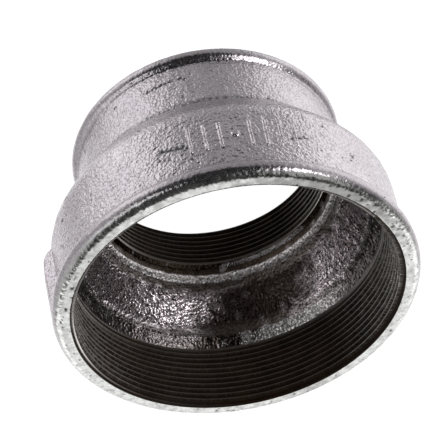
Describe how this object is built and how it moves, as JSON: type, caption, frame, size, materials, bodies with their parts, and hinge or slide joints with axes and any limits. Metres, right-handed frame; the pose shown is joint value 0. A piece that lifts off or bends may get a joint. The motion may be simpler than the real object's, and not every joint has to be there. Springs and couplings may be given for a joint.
{
  "type": "concentric reducing socket",
  "caption": "One-piece threaded pipe reducer: two coaxial female sockets of different bore, a bead round each mouth, a rounded shoulder and a grip rib.",
  "frame": {"origin": "centre of the small end face", "axes": "+Z along the common bore axis from the small end to the large mouth; the raised marks are on the -Y side and the grip rib is near +X"},
  "size_m": [0.1257, 0.1254, 0.077],
  "materials": {
    "galvanised_iron": "hot-dip galvanised as-cast skin: bright zinc with a fine grain, small pits and a faint warm tint",
    "cut_thread_iron": "threads cut after galvanising: bare oiled iron, near black, with thin bright crests"
  },
  "bodies": {
    "root": {"large_socket": "galvanised_iron", "shoulder": "galvanised_iron", "small_socket": "galvanised_iron", "large_bead": "galvanised_iron", "small_bead": "galvanised_iron", "grip_rib": "galvanised_iron", "cast_marks": "galvanised_iron", "large_thread": "cut_thread_iron", "small_thread": "cut_thread_iron"}
  },
  "joints": []
}
